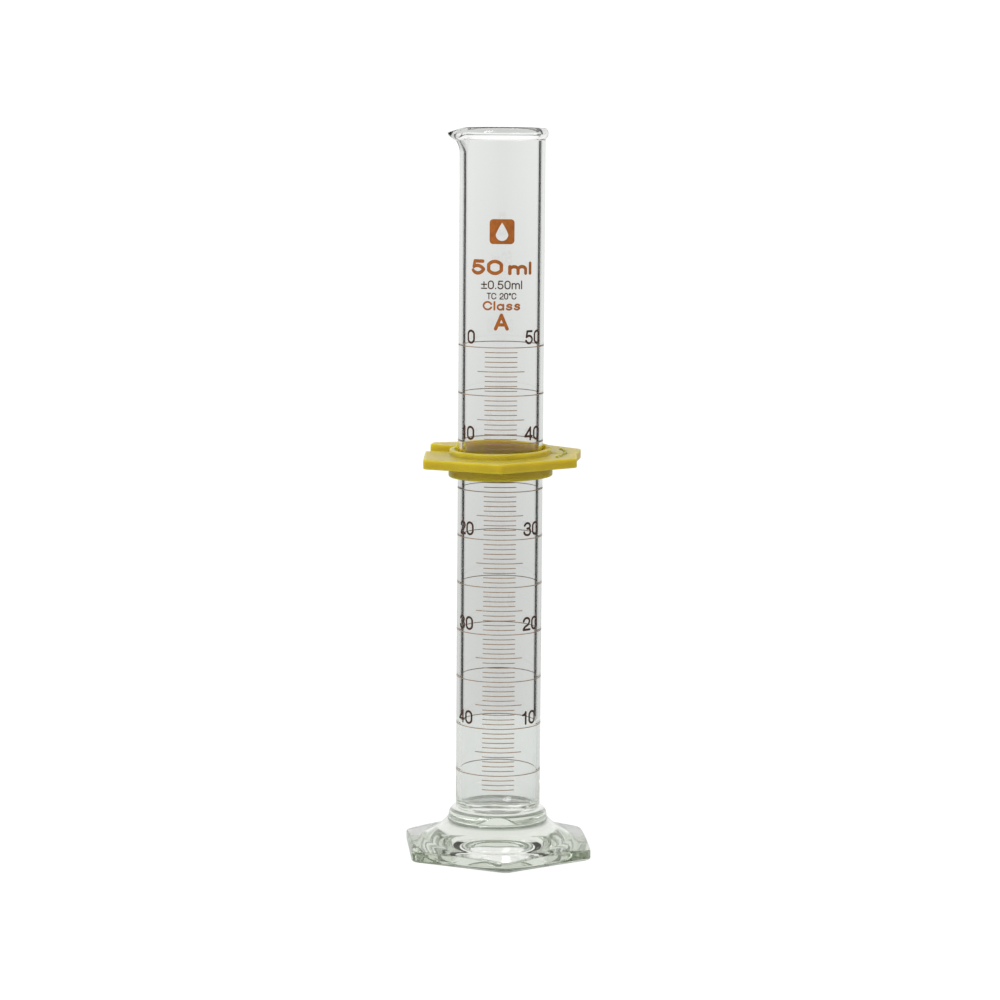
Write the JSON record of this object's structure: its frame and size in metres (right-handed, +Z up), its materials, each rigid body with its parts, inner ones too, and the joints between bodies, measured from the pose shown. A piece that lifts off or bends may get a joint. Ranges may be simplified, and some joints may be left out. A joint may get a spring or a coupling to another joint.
{
  "type": "graduated cylinder",
  "caption": "Tall glass measuring cylinder with pouring spout, printed scale, hexagonal glass foot and a sliding hexagonal bumper guard.",
  "frame": {"origin": "centre of the underside of the hexagonal foot", "axes": "+Z up along the tube; the printed scale faces -Y; the pouring spout points to -X"},
  "size_m": [0.053, 0.0576, 0.206],
  "materials": {
    "clear_glass": "clear borosilicate glass, fire polished",
    "yellow_polyethylene": "translucent moulded polyethylene",
    "brown_enamel": "fired enamel, opaque, thin"
  },
  "bodies": {
    "glass": {"glass_tube": "clear_glass", "hex_foot": "clear_glass", "graduation_rings": "brown_enamel", "mid_marks": "brown_enamel", "short_marks": "brown_enamel", "ascending_numerals": "brown_enamel", "descending_numerals": "brown_enamel", "capacity_text": "brown_enamel", "tolerance_text": "brown_enamel", "temperature_text": "brown_enamel", "class_word": "brown_enamel", "class_letter": "brown_enamel", "droplet_mark": "brown_enamel"},
    "guard": {"bumper_guard": "yellow_polyethylene"}
  },
  "joints": [
    {"name": "guard_slide", "type": "slide", "parent": "glass", "child": "guard", "axis": [0, 0, 1], "range_m": [-0.095, 0.082]}
  ]
}
